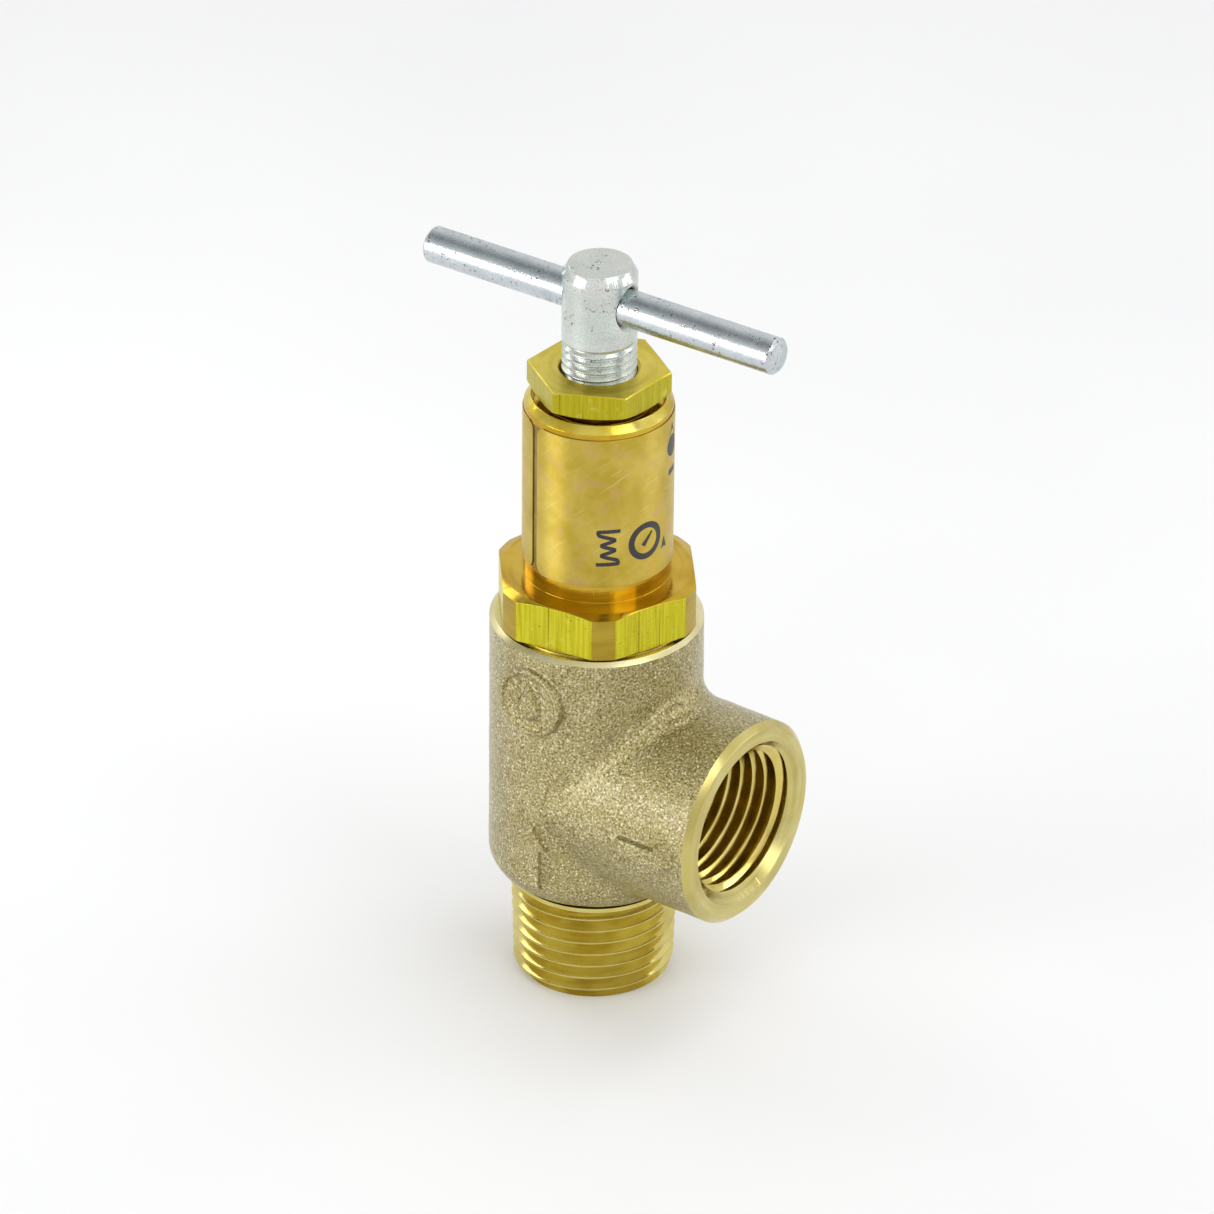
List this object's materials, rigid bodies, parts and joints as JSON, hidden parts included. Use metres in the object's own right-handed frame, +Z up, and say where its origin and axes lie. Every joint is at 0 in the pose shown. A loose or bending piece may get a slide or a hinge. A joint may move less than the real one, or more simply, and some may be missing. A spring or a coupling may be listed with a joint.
{
  "type": "pressure relief valve",
  "caption": "Angle-pattern pressure relief valve with male pipe thread inlet, female pipe thread side outlet, spring bonnet, lock nut and T-handle adjusting screw.",
  "frame": {"origin": "centre of the inlet thread's end face, on the valve's axis; the object stands on this face", "axes": "+Z up along the inlet and bonnet axis, +X along the outlet axis, away from the body"},
  "size_m": [0.0522, 0.028, 0.1023],
  "materials": {
    "cast_brass": "sand cast, rough",
    "turned_brass": "machined, satin to bright",
    "label_foil": "gold-tinted foil band",
    "zinc_plate": "zinc plated",
    "spring_steel": "drawn wire",
    "seat_rubber": "matt",
    "gasket": "matt fibre sheet"
  },
  "bodies": {
    "valve_body": {"valve_body": "cast_brass", "bonnet": "turned_brass", "bonnet_gasket": "gasket", "bonnet_label": "label_foil", "spring": "spring_steel"},
    "upper_spring_seat": {"spring_button": "turned_brass"},
    "adjusting_screw": {"adjusting_screw": "zinc_plate", "t_bar": "zinc_plate"},
    "lock_nut": {"lock_nut": "turned_brass"},
    "disc_assembly": {"disc_holder": "turned_brass", "seat_disc": "seat_rubber", "disc_washer": "turned_brass", "disc_screw": "turned_brass"}
  },
  "joints": [
    {"name": "screw_travel", "type": "slide", "parent": "valve_body", "child": "upper_spring_seat", "axis": [0, 0, 1], "range_m": [-0.00424, 0.00424], "deforming": ["spring"]},
    {"name": "screw_turn", "type": "hinge", "parent": "upper_spring_seat", "child": "adjusting_screw", "pos_m": [0, 0, 0.09733], "axis": [0, 0, 1], "range_deg": [-1440, 1440]},
    {"name": "lock_nut_turn", "type": "hinge", "parent": "valve_body", "child": "lock_nut", "pos_m": [0, 0, 0.086], "axis": [0, 0, 1], "range_deg": [0, 360]},
    {"name": "disc_lift", "type": "slide", "parent": "valve_body", "child": "disc_assembly", "axis": [0, 0, 1], "range_m": [0, 0.0025], "stiffness_N_per_m": 14700, "deforming": ["spring"]}
  ],
  "couplings": [
    {"joint": "screw_travel", "follows": "screw_turn", "m_per_rad": 0.00016844}
  ]
}
